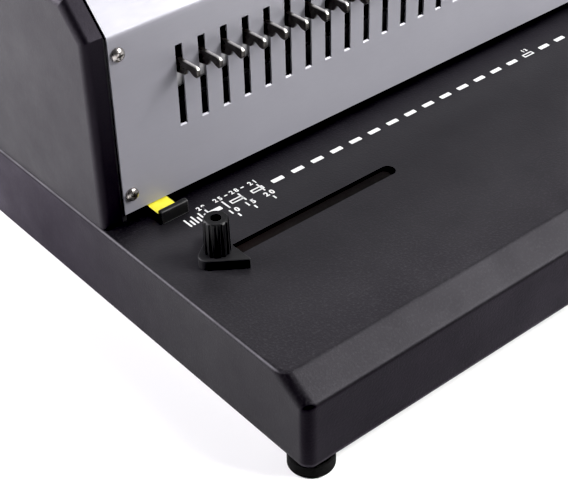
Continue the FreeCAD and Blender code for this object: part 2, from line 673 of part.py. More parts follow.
keep(group([pan_screw("z", 1, BH + 2.0, px + 7.144, PY, 3.2, 2.0, 1.65, 9.0) for px in (-128.59, -42.86, 42.86, 128.59)]), "beam_screws")
racks = []
for lo, hi in ((-162.0, -150.0), (150.0, 162.0)):
    r = made(prism(rack_points(M1, SHY.n - R1, SHZ.n, 107.3, 140.0, 41.0, 1), lo, hi))
    racks.append(fuse(r, box(lo, hi, BB, SHY - R1 - 1.5, BL, 107.3)))
keep(group(racks), "punch_racks")

# =============================================================================
# Comb sleeve, hook carriage and hooks
# =============================================================================
M2, N2 = 1.5, 24
R2 = M2 * N2 / 2.0
keep(cut(fuse(rod("x", SLR, 169.6, 204.9 - 169.6, SHY, SHZ), rod("x", 11.5, 187.0, 3.0, SHY, SHZ)), rod("x", SHR + 0.05, 160.0, 60.0, SHY, SHZ)), "comb_sleeve")
g = made(prism(gear_points(M2, N2, SHY.n, SHZ.n, 0.0), 170.4, 176.4))
keep(cut(g, rod("x", SLR, 160.0, 40.0, SHY, SHZ)), "comb_pinion")

TRAVEL = 23.88
A0, A1 = D["carriage_front"], D["carriage_back"]
b = new_body("carriage")
pad(b, "YZ", [("poly", [(A0, 122.5), (A0, 138.4), (A1, 138.4), (A1, 124.4), (20.9, 120.7), (18.9, 118.4)])], -170.0, 170.0)
soften(b, 3.4, lambda m, q: q.XLength > 300 and near(m.y, A0.n) and near(m.z, 122.5))
f = pocket(b, "XZ", [quad(X0 - D["hook_thick"] / 2, X0 + D["hook_thick"] / 2, 132.0, 137.0)], A0 - 1, A1 + 1)
repeat(b, f, 21, PCH)
keep(b, "hook_carriage")

b = new_body("hook")
HT, HY = D["hook_top"], D["hook_tip"]
pad(b, "YZ", [("poly", [(A1, 137.0), (A0, 137.0), (A0, HT - 0.9), (HY, HT), (HY, 136.4), (HY + 1.4, 134.6), (HY + 4.0, 134.8), (HY + 8.2, 136.8), (HY + 11.2, 132.3), (A0, 131.0), (A0, 132.0), (A1, 132.0)])],
    X0 - D["hook_thick"] / 2, X0 + D["hook_thick"] / 2)


def across(m, q, y, z):
    return q.XLength > 1.0 and q.YLength < 0.05 and q.ZLength < 0.05 and near(m.y, y) and near(m.z, z)


soften(b, 2.3, lambda m, q: across(m, q, HY.n, HT.n))
soften(b, 1.2, lambda m, q: across(m, q, HY.n, 136.4) or across(m, q, HY.n + 1.4, 134.6))
soften(b, 1.8, lambda m, q: across(m, q, HY.n + 8.2, 136.8) or across(m, q, HY.n + 11.2, 132.3) or across(m, q, HY.n + 4.0, 134.8))
soften(b, 0.6, lambda m, q: q.XLength < 0.05 and m.y < 13.0 and m.z > 139.0 and q.YLength > 8.0)
repeat(b, None, 21, PCH)
keep(b, "comb_hooks")

SIDE = [(A0, 107.0), (A0, 150.0), (24.0, 168.0), (34.0, 171.0), (88.0, 171.0), (88.0, 94.5), (24.0, 94.5)]
b = new_body("left_wing")
pad(b, "YZ", [("poly", SIDE)], -175.0, -170.0)
pocket(b, "YZ", [quad(SHY - 14.0, SHY + 14.0, 106.0, 120.0 + TRAVEL + 14.0)], -176.0, -169.0)
for pz in (138.0, 101.0):
    pocket(b, "YZ", [quad(27.0 - 3.08, 27.0 + 3.08, pz - 3.4, pz + TRAVEL + 3.4)], -176.0, -169.0)
keep(b, "carriage_left_plate")
rk = rack_points(M2, SHY.n + R2, SHZ.n, 99.6, 164.4, 84.0, -1)
b = new_body("right_wing")
pad(b, "YZ", [("poly", SIDE)], 170.4, 175.4)
pocket(b, "YZ", [quad(39.0, 84.0, 99.6, 164.4)], 169.0, 177.0)
for pz in (138.0, 101.0):
    pocket(b, "YZ", [quad(27.0 - 3.08, 27.0 + 3.08, pz - 3.4, pz + TRAVEL + 3.4)], 169.0, 177.0)
keep(fuse(b, made(prism(rk, 170.4, 175.4)), box(170.0, 170.4, A0, 24.0, 118.0, 146.0)), "carriage_rack_plate")

# =============================================================================
# Handle
# =============================================================================
CLEAN = math.radians(-30.0)


def comb_along(a, c):
    return (SHY.n + math.sin(CLEAN) * a + math.cos(CLEAN) * c, SHZ.n + math.cos(CLEAN) * a - math.sin(CLEAN) * c)


# lever of the comb opener, on the end of the sleeve
b = new_body("comb_lever")
pad(b, "YZ", [("ring", SHY, SHZ, 15.0)], 199.4, 204.4)
pad(b, "YZ", [("poly", [comb_along(0.0, -12.5), comb_along(150.0, -10.5), comb_along(150.0, 10.5), comb_along(0.0, 12.5)])], 199.4, 204.4)
soften(b, 6.0, lambda m, q: q.XLength > 4 and q.YLength < 0.1 and q.ZLength < 0.1 and m.z > 220.0)
pocket(b, "YZ", [("ring", SHY, SHZ, SLR)], 198.0, 206.0)
keep(b, "comb_lever")
b = new_body("comb_grip")
pad(b, "YZ", [("poly", [comb_along(92.0, -13.4), comb_along(158.0, -14.0), comb_along(158.0, 14.0), comb_along(92.0, 13.4)])], 198.9, 208.9)
soften(b, 8.0, lambda m, q: q.XLength > 8 and q.YLength < 0.1 and q.ZLength < 0.1 and (m.z - SHZ.n) * math.cos(CLEAN) + (m.y - SHY.n) * math.sin(CLEAN) > 140.0)
soften(b, 2.0, lambda m, q: q.XLength < 0.05 and near(m.x, 208.9))
grip_hole = made(prism([comb_along(75.0, -11.5), comb_along(150.0, -10.5), comb_along(150.0, 10.5), comb_along(75.0, 11.5)], 199.4, 204.4))
keep(cut(b, grip_hole), "comb_lever_grip")

LEAN = math.radians(D["lever_lean"].n)
tip = (SHY + D["lever_length"] * math.sin(LEAN), SHZ + D["lever_length"] * math.cos(LEAN))
uy, uz = math.sin(LEAN), math.cos(LEAN)
HX0, HX1 = 205.6, 219.4
hub = fuse(rod("x", 19.0, HX0, HX1 - HX0, SHY, SHZ), taper("x", 19.0, 17.0, HX1, 2.0, SHY, SHZ))
keep(cut(hub, rod("x", SHR, HX0 - 1, 5.2, SHY, SHZ), rod("x", 3.0, HX0, 20.0, SHY, SHZ),
         made(prism([(SHY.n + uy * a + uz * c, SHZ.n + uz * a - uy * c) for a, c in ((-10.0, -7.05), (30.0, -7.05), (30.0, 7.05), (-10.0, 7.05))], 211.4, 217.4))), "handle_hub")
b = new_body("lever")


def along(a, c):
    return (SHY.n + uy * a + uz * c, SHZ.n + uz * a - uy * c)


LL = D["lever_length"].n
pad(b, "YZ", [("poly", [along(-10.0, -7.0), along(LL + 10.0, -7.0), along(LL + 10.0, 7.0), along(-10.0, 7.0)])], 211.4, 217.4)
soften(b, 6.5, lambda m, q: q.XLength > 5 and q.YLength < 0.1 and q.ZLength < 0.1 and m.z > 200.0)
soften(b, 1.0, lambda m, q: q.XLength < 0.05 and q.ZLength > 100.0)
pocket(b, "YZ", [("ring", SHY, SHZ, 3.0)], 210.4, 218.4)
pocket(b, "YZ", [("ring", tip[0], tip[1], 3.1)], 210.4, 218.4)
keep(b, "handle_lever")
keep(pan_screw("x", 1, HX1 + 2.0, SHY, SHZ, 6.5, 3.2, 2.95, 10.6), "hub_screw")
keep(cut(rod("x", 8.0, 20.0, 191.4, tip[0], tip[1]), rod("x", 2.95, 196.4, 20.0, tip[0], tip[1]), rod("x", 6.2, 19.0, 150.0, tip[0], tip[1])), "handle_cross_tube")
keep(pan_screw("x", 1, 217.4, tip[0], tip[1], 6.0, 3.0, 2.95, 18.0), "tube_screw")
grip = fuse(rod("x", 12.0, 30.0, 144.0, tip[0], tip[1]), taper("x", 10.6, 12.0, 27.0, 3.0, tip[0], tip[1]), taper("x", 12.0, 10.6, 174.0, 3.0, tip[0], tip[1]))
keep(cut(grip, rod("x", 8.0, 20.0, 170.0, tip[0], tip[1])), "handle_grip")
keep(fuse(rod("x", 6.15, 20.0, 10.0, tip[0], tip[1]), rod("x", 8.0, 17.5, 2.5, tip[0], tip[1])), "tube_end_cap")

# =============================================================================
# Paper stop with its knob
# =============================================================================
PX, PYS, PTOP = D["stop_x"], D["stop_y"], D["stop_top"]
b = new_body("stop")
pad(b, "XY", [("poly", [(-159.2, PYS - 17.2), (-159.2, PYS + 17.2), (-179.0, PYS + 2.6), (-179.0, PYS - 2.6)])], ZT + 0.25, PTOP)
soften(b, 5.0, lambda m, q: q.ZLength > 3 and near(m.x, -179.0))
soften(b, 0.8, lambda m, q: q.ZLength > 3 and near(m.x, -159.2))
soften(b, 0.6, lambda m, q: near(m.z, PTOP.n) and q.ZLength < 0.05)
pad(b, "XY", [quad(PX - 4.0, PX + 6.0, SY - SW / 2 + 0.3, SY + SW / 2 - 0.3)], ZT - T + 0.2, ZT + 0.4)
pocket(b, "XY", [("ring", PX, PYS, 2.65)], ZT - T - 1, PTOP + 1)
keep(b, "stop_plate")
keep(cut(box(PX - 8.6, PX + 8.6, SY - 11.0, SY + 11.0, 50.6, ZT - T - 0.3), rod("z", 2.5, 50.0, 6.0, PX, PYS)), "stop_clamp_nut")
keep(fuse(rod("z", 2.5, 48.0, 26.5, PX, PYS), rod("z", 4.5, 47.2, 3.4, PX, PYS)), "stop_screw")
# dark strip behind the clamp, closing the slot from below and moving with the stop
keep(group([box(PX + 8.6, -43.0, SY - 6.4, SY + 6.4, 53.5, ZT - T - 0.25)]), "slot_cover_strip")
KR, KT = D["knob_foot_radius"], D["knob_top_radius"]
core = fuse(taper("z", KR, KT, PTOP + 0.3, D["knob_top"] - PTOP - 1.0, PX, PYS), taper("z", KT, KT - 0.75, D["knob_top"] - 0.7, 0.7, PX, PYS))
flutes = [rod("z", 1.0, PTOP - 1, D["knob_top"] - PTOP + 3, PX + (KR + 0.15) * math.cos(2 * math.pi * k / 14), PYS + (KR + 0.15) * math.sin(2 * math.pi * k / 14)) for k in range(14)]
keep(cut(core, *(flutes + [rod("z", 2.65, PTOP - 1, D["knob_top"] - PTOP + 3, PX, PYS), rod("z", 3.0, D["knob_top"] - 6.0, 8.0, PX, PYS)])), "stop_knob")

# =============================================================================
# Margin slide
# =============================================================================
TL, TR, TT = D["tab_left"], D["tab_right"], D["tab_top"]
b = new_body("tab")
pad(b, "XY", [quad(TL, TR, 0.0, 41.0)], ZT + 0.3, TT)
pad(b, "XY", [quad(TL - 1.9, TR + 2.7, -3.0, 0.3)], ZT + 0.3, 65.0)
soften(b, 0.8, lambda m, q: m.z > 64.9 or (m.z > 60.5 and q.ZLength > 3))
keep(b, "margin_tab")
keep(group([box(TL + 0.2, TR - 0.2, 0.5, 15.0, TT, TT + 0.2)]), "margin_label")
keep(fuse(box(TR + 0.2, 149.0, 33.5, 40.5, ZT + 0.3, 61.1), box(TL + 0.2, TR + 1.0, 33.5, 40.5, TT, 61.1)), "back_stop_bar")

# =============================================================================
# Chip drawer
# =============================================================================
DH, DL, DT = D["drawer_half"], D["drawer_low"], D["drawer_high"]
b = new_body("drawer")
pad(b, "XY", [quad(-DH, DH, 10.0, YB - 0.4)], DL, DT)
pocket(b, "XY", [quad(-(DH - 2), DH - 2, 12.0, YB - 2.8)], DL + 1.8, DT + 1)
pocket(b, "XZ", [quad(-32.0, 32.0, DT - 11.0, DT + 1)], YB - 5.0, YB + 1)
soften(b, 6.0, lambda m, q: q.YLength > 2 and near(abs(m.x), 32.0) and near(m.z, DT.n - 11.0))
keep(b, "chip_drawer")

# =============================================================================
# Check and write
# =============================================================================
doc.recompute()
for o in doc.Objects:
    if "Invalid" in o.State or "Error" in o.State:
        raise RuntimeError("object not built: %s %s" % (o.Name, o.Label))
# the whole machine is set so that the floor origin lies under the middle of its box
for node, o in KEEP:
    o.Placement = FreeCAD.Placement(V(D["row_shift"].n, 0, D["row_lift"].n), FreeCAD.Rotation())
os.makedirs("parts", exist_ok=True)
for node, o in KEEP:
    if o.Shape.isNull() or not o.Shape.isValid():
        raise RuntimeError("shape not valid: " + node)
    if not o.Shape.Solids:
        raise RuntimeError("no solid in " + node)
for node, o in KEEP:
    o.Shape.exportStep("parts/%s.step" % node)
    print("%-24s solids %3d volume %10.1f" % (node, len(o.Shape.Solids), o.Shape.Volume))
print("nodes", len(KEEP))
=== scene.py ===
import json
import math

import bmesh
import bpy
from mathutils import Matrix, Vector


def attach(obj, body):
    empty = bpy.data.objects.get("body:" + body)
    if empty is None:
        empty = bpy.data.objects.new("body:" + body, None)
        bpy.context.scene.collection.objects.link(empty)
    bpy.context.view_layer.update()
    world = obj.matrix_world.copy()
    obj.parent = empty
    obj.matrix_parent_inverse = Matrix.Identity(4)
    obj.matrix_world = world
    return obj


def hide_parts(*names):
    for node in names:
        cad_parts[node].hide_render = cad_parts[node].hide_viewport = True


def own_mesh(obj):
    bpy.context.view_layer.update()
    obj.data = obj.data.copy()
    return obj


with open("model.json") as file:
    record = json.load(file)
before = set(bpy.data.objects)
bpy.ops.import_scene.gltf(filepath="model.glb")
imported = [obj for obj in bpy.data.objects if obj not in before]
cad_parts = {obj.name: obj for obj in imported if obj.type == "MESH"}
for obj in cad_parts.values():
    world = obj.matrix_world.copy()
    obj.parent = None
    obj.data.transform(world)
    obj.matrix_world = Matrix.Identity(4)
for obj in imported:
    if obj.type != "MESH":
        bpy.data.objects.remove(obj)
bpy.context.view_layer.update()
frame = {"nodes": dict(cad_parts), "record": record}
MM = 0.001
SX = -12.8         # machine middle to row frame along X, in mm
SZ = 3.3           # tray drawing to row frame along Z, in mm
nodes = frame["nodes"]
scene = bpy.context.scene


# ---------------------------------------------------------------- materials
def new_material(name):
    m = bpy.data.materials.new(name)
    m.use_nodes = True
    nt = m.node_tree
    for n in list(nt.nodes):
        nt.nodes.remove(n)
    out = nt.nodes.new("ShaderNodeOutputMaterial")
    bsdf = nt.nodes.new("ShaderNodeBsdfPrincipled")
    nt.links.new(bsdf.outputs["BSDF"], out.inputs["Surface"])
    return m, nt, bsdf


def node(nt, kind, **inputs):
    n = nt.nodes.new(kind)
    for k, v in inputs.items():
        n.inputs[k.replace("_", " ")].default_value = v
    return n


def coords(nt, stretch=(1, 1, 1), turn=(0, 0, 0)):
    tc = nt.nodes.new("ShaderNodeTexCoord")
    mp = nt.nodes.new("ShaderNodeMapping")
    mp.inputs["Scale"].default_value = stretch
    mp.inputs["Rotation"].default_value = turn
    nt.links.new(tc.outputs["Object"], mp.inputs["Vector"])
    return mp.outputs["Vector"]


def noise(nt, vec, scale, detail=4.0, rough=0.55):
    n = nt.nodes.new("ShaderNodeTexNoise")
    n.inputs["Scale"].default_value = scale
    n.inputs["Detail"].default_value = detail
    n.inputs["Roughness"].default_value = rough
    nt.links.new(vec, n.inputs["Vector"])
    return n.outputs["Fac"]


def ramp(nt, value, lo, hi, out_lo, out_hi):
    n = nt.nodes.new("ShaderNodeMapRange")
    n.inputs["From Min"].default_value = lo
    n.inputs["From Max"].default_value = hi
    n.inputs["To Min"].default_value = out_lo
    n.inputs["To Max"].default_value = out_hi
    nt.links.new(value, n.inputs["Value"])
    return n.outputs["Result"]


def math_node(nt, op, a, b):
    n = nt.nodes.new("ShaderNodeMath")
    n.operation = op
    for i, v in enumerate((a, b)):
        if isinstance(v, (int, float)):
            n.inputs[i].default_value = v
        else:
            nt.links.new(v, n.inputs[i])
    return n.outputs[0]


def mix(nt, fac, a, b):
    n = nt.nodes.new("ShaderNodeMix")
    n.data_type = "RGBA"
    nt.links.new(fac, n.inputs[0])
    for i, v in ((6, a), (7, b)):
        if isinstance(v, (tuple, list)):
            n.inputs[i].default_value = (*v, 1.0)
        else:
            nt.links.new(v, n.inputs[i])
    return n.outputs[2]


def edge_mask(nt, radius):
    """0 on flat faces, towards 1 along outer and inner edges."""
    bv = nt.nodes.new("ShaderNodeBevel")
    bv.samples = 4
    bv.inputs["Radius"].default_value = radius
    ge = nt.nodes.new("ShaderNodeNewGeometry")
    dt = nt.nodes.new("ShaderNodeVectorMath")
    dt.operation = "DOT_PRODUCT"
    nt.links.new(bv.outputs["Normal"], dt.inputs[0])
    nt.links.new(ge.outputs["Normal"], dt.inputs[1])
    return ramp(nt, dt.outputs["Value"], 0.995, 0.80, 0.0, 1.0)


def surface(name, dark, light, rough, metallic=0.0, blotch=9.0, grain=1400.0, depth=0.00004, strength=0.5,
            stretch=None, turn=(0, 0, 0), edge_wear_and_highlight=None, edge_wear_and_highlight_amount=0.6, edge_wear_and_highlight_radius=0.0007, specular=0.5,
            coat=0.0, coat_rough=0.2, speck=0.0, scratch=0.0, diffuse_rough=None, soft=None, slot_shadow=None, top_highlight=None, painted_lower_shade=None, tint=None, side_bend_highlight=None, painted_facing_shade=None, dust_light_and_shade=None, painted_end_shade=None, painted_side_shade=None, lift=None):
    """A measured coat: large soft blotches in colour, fine grain in relief and gloss, rubbed edges that also carry
    painted edge highlights, and optional painted light and shade by place and facing.
    """
    m, nt, b = new_material(name)
    vec = coords(nt)
    big = noise(nt, vec, blotch, 5.0, 0.6)
    col = mix(nt, ramp(nt, big, 0.3, 0.7, 0.0, 1.0), dark, light)
    gvec = coords(nt, stretch, turn) if stretch else vec
    fine = noise(nt, gvec, grain, 3.0, 0.65)
    if speck:
        # the crowns of the grain are rubbed a little lighter than its hollows
        col = mix(nt, ramp(nt, fine, 0.50, 0.72, 0.0, speck), col, tuple(min(1.0, c * 2.6 + 0.02) for c in light))
    # lighter edges: worn on most parts, but on the cheeks, the margin tab and the hooks a painted highlight along
    # edges that catch the light
    if edge_wear_and_highlight:
        rub_and_highlight = math_node(nt, "MULTIPLY", edge_mask(nt, edge_wear_and_highlight_radius), ramp(nt, noise(nt, vec, 120.0, 4.0, 0.7), 0.35, 0.65, 0.15, edge_wear_and_highlight_amount))
        col = mix(nt, rub_and_highlight, col, edge_wear_and_highlight)
    place = None
    if slot_shadow or painted_lower_shade or top_highlight or side_bend_highlight or dust_light_and_shade or painted_end_shade or painted_side_shade or lift:
        tc = nt.nodes.new("ShaderNodeTexCoord")
        place = nt.nodes.new("ShaderNodeSeparateXYZ")
        nt.links.new(tc.outputs["Object"], place.inputs["Vector"])
    b.inputs["Specular IOR Level"].default_value = specular
    if tint:
        b.inputs["Specular Tint"].default_value = (*tint, 1.0)
    if side_bend_highlight:
        # painted highlight along the upper bends of the side walls, a light band where the bend catches the light
        off = nt.nodes.new("ShaderNodeMath")
        off.operation = "ABSOLUTE"
        nt.links.new(math_node(nt, "SUBTRACT", place.outputs["X"], SX * MM), off.inputs[0])
        highlight_band = ramp(nt, off.outputs[0], side_bend_highlight[0], side_bend_highlight[0] + 0.0006, 0.0, 1.0)
        highlight_band = math_node(nt, "MULTIPLY", highlight_band, ramp(nt, place.outputs["Z"], side_bend_highlight[1], side_bend_highlight[1] + 0.0007, 0.0, 1.0))
        highlight_band = math_node(nt, "MULTIPLY", highlight_band, ramp(nt, noise(nt, vec, 90.0, 4.0, 0.6), 0.3, 0.65, 0.35, 1.0))
        col = mix(nt, highlight_band, col, side_bend_highlight[2])
    shade_by_lost_sheen = []        # painted shade: where the sheen is taken away (metallic over a near-black colour), so the surface reads darker
    if painted_end_shade:
        # painted shading towards one end: the panel darker towards its left end, the slot strip lighter at its left
        # end, standing in for uneven light across the part
        full = ramp(nt, place.outputs["X"], painted_end_shade[0], painted_end_shade[1], 0.0, 1.0)
        full = math_node(nt, "MAXIMUM", full, ramp(nt, place.outputs["Z"], painted_end_shade[3], painted_end_shade[3] + 0.004, 0.0, 1.0))
        col = mix(nt, full, painted_end_shade[2], col)
    if dust_light_and_shade:
        # a lighter dusty film on the level top, rising towards the back; partly real and partly painted light
        tcn = nt.nodes.new("ShaderNodeTexCoord")
        level = nt.nodes.new("ShaderNodeSeparateXYZ")
        nt.links.new(tcn.outputs["Normal"], level.inputs["Vector"])
        level_dust_and_shade = ramp(nt, level.outputs["Z"], 0.9, 0.99, 0.0, 1.0)
        # painted shade: the front of the top loses its sheen and reads darker
        shade_by_lost_sheen.append(math_node(nt, "MULTIPLY", level_dust_and_shade, ramp(nt, place.outputs["Y"], -0.128, -0.02, dust_light_and_shade[3], 0.0)))
        # painted shade under the panel's lower edge: the sheen is taken away and the dusty film thinned, a soft dark
        # band
        shade_by_lost_sheen.append(math_node(nt, "MULTIPLY", level_dust_and_shade, ramp(nt, place.outputs["Y"], -0.016, 0.006, 0.0, 0.75)))
        level_dust_and_shade = math_node(nt, "MULTIPLY", level_dust_and_shade, ramp(nt, place.outputs["Y"], -0.022, 0.004, 1.0, 0.25))
        level_dust_and_shade = math_node(nt, "MULTIPLY", level_dust_and_shade, ramp(nt, place.outputs["Y"], dust_light_and_shade[0], dust_light_and_shade[1], 0.0, 1.0))
        level_dust_and_shade = math_node(nt, "MULTIPLY", level_dust_and_shade, ramp(nt, noise(nt, vec, 14.0, 5.0, 0.6), 0.3, 0.7, 0.75, 1.0))
        col = mix(nt, level_dust_and_shade, col, dust_light_and_shade[2])
    if painted_side_shade:
        # painted shade: end walls lose some of their sheen towards the back and read darker
        tcn = nt.nodes.new("ShaderNodeTexCoord")
        aside = nt.nodes.new("ShaderNodeSeparateXYZ")
        nt.links.new(tcn.outputs["Normal"], aside.inputs["Vector"])
        wall = ramp(nt, aside.outputs["X"], -0.8, -0.97, 0.0, 1.0)
        shade_by_lost_sheen.append(math_node(nt, "MULTIPLY", wall, ramp(nt, place.outputs["Y"], painted_side_shade[0], painted_side_shade[1], 0.0, painted_side_shade[2])))
    if painted_facing_shade:
        # painted shade: faces turned this way get a darker colour and lose their sheen
        way, lo, hi, left, flat = painted_facing_shade
        tcn = nt.nodes.new("ShaderNodeTexCoord")
        dot = nt.nodes.new("ShaderNodeVectorMath")
        dot.operation = "DOT_PRODUCT"
        dot.inputs[1].default_value = way
        nt.links.new(tcn.outputs["Normal"], dot.inputs[0])
        facing_shade_mask = ramp(nt, dot.outputs["Value"], lo, hi, 0.0, 1.0)
        facing_shade_mask = math_node(nt, "MULTIPLY", facing_shade_mask, ramp(nt, noise(nt, vec, 30.0, 4.0, 0.6), 0.3, 0.7, 0.94, 1.0))
        col = mix(nt, facing_shade_mask, col, tuple(c * left for c in dark))
        shade_by_lost_sheen.append(math_node(nt, "MULTIPLY", facing_shade_mask, flat))
    if slot_shadow:
        # painted shadow inside a slot: the cut walls below the top are painted near black and lose their sheen
        x0, x1, y0, y1, z1 = slot_shadow
        slot_shadow_mask = math_node(nt, "GREATER_THAN", place.outputs["X"], x0)
        slot_shadow_mask = math_node(nt, "MULTIPLY", slot_shadow_mask, math_node(nt, "LESS_THAN", place.outputs["X"], x1))
        slot_shadow_mask = math_node(nt, "MULTIPLY", slot_shadow_mask, math_node(nt, "GREATER_THAN", place.outputs["Y"], y0))
        slot_shadow_mask = math_node(nt, "MULTIPLY", slot_shadow_mask, math_node(nt, "LESS_THAN", place.outputs["Y"], y1))
        slot_shadow_mask = math_node(nt, "MULTIPLY", slot_shadow_mask, ramp(nt, place.outputs["Z"], z1, z1 - 0.0002, 0.0, 1.0))
        col = mix(nt, slot_shadow_mask, col, (0.0025, 0.0022, 0.0021))
        shade_by_lost_sheen.append(slot_shadow_mask)
    if top_highlight:
        # painted highlight: upward faces painted bright, fading out towards the panel where they sit in the slot's
        # shade
        tc = nt.nodes.new("ShaderNodeTexCoord")
        facing = nt.nodes.new("ShaderNodeSeparateXYZ")
        nt.links.new(tc.outputs["Normal"], facing.inputs["Vector"])
        up = ramp(nt, facing.outputs["Z"], top_highlight[0], top_highlight[1], 0.0, 1.0)
        up = math_node(nt, "MULTIPLY", up, ramp(nt, noise(nt, vec, 700.0, 3.0, 0.6), 0.25, 0.6, 0.75, 1.0))
        up = math_node(nt, "MULTIPLY", up, ramp(nt, place.outputs["Y"], top_highlight[3], top_highlight[3] - 0.0015, 0.0, 1.0))
        col = mix(nt, up, col, top_highlight[2])
    if painted_lower_shade:
        # painted shade: darker towards its lower edge, where the light through the slots falls off
        col = mix(nt, ramp(nt, place.outputs["Z"], painted_lower_shade[0], painted_lower_shade[1], 0.0, 1.0), painted_lower_shade[2], col)
    if lift:
        # painted shading up the panel: paler towards the lower edge, darker towards the top, back to full short of the
        # fold
        z0, z1, low, high, z2, z3 = lift
        height_shade = ramp(nt, place.outputs["Z"], z0, z1, low, high)
        height_shade = math_node(nt, "ADD", height_shade, ramp(nt, place.outputs["Z"], z2, z3, 0.0, 1.0 - high))
        grow = nt.nodes.new("ShaderNodeVectorMath")
        grow.operation = "SCALE"
        nt.links.new(col, grow.inputs[0])
        nt.links.new(height_shade, grow.inputs["Scale"])
        col = grow.outputs["Vector"]
    nt.links.new(col, b.inputs["Base Color"])
    smudge = noise(nt, vec, blotch * 3.7, 6.0, 0.6)
    r = ramp(nt, smudge, 0.3, 0.7, rough[0], rough[1])
    r = math_node(nt, "ADD", r, ramp(nt, fine, 0.3, 0.7, -0.04, 0.04))
    nt.links.new(r, b.inputs["Roughness"])
    height = fine
    if scratch:
        lines = noise(nt, coords(nt, (6.0, 900.0, 900.0), (0.1, 0.0, 0.05)), 1.0, 2.0, 0.5)
        height = math_node(nt, "ADD", fine, ramp(nt, lines, 0.62, 0.72, 0.0, -scratch))
    bump = node(nt, "ShaderNodeBump", Strength=strength, Distance=depth)
    nt.links.new(height, bump.inputs["Height"])
    if soft:
        # pressed bends: the shading turns over the given radius, in front of the given line
        radius, edge_lo, edge_hi = soft
        bend = nt.nodes.new("ShaderNodeBevel")
        bend.samples = 8
        bend.inputs["Radius"].default_value = radius
        ge = nt.nodes.new("ShaderNodeNewGeometry")
        tc = nt.nodes.new("ShaderNodeTexCoord")
        sep = nt.nodes.new("ShaderNodeSeparateXYZ")
        nt.links.new(tc.outputs["Object"], sep.inputs["Vector"])
        where = ramp(nt, sep.outputs["Y"], edge_hi, edge_lo, 0.0, 1.0)
        turn_over = nt.nodes.new("ShaderNodeMix")
        turn_over.data_type = "VECTOR"
        nt.links.new(where, turn_over.inputs[0])
        nt.links.new(ge.outputs["Normal"], turn_over.inputs[4])
        nt.links.new(bend.outputs["Normal"], turn_over.inputs[5])
        nt.links.new(turn_over.outputs[1], bump.inputs["Normal"])
    nt.links.new(bump.outputs["Normal"], b.inputs["Normal"])
    b.inputs["Metallic"].default_value = metallic
    if shade_by_lost_sheen:
        total = shade_by_lost_sheen[0]
        for more in shade_by_lost_sheen[1:]:
            total = math_node(nt, "MAXIMUM", total, more)
        nt.links.new(total, b.inputs["Metallic"])
    if diffuse_rough is not None:
        b.inputs["Diffuse Roughness"].default_value = diffuse_rough
    if coat:
        b.inputs["Coat Weight"].default_value = coat
        b.inputs["Coat Roughness"].default_value = coat_rough
    return m


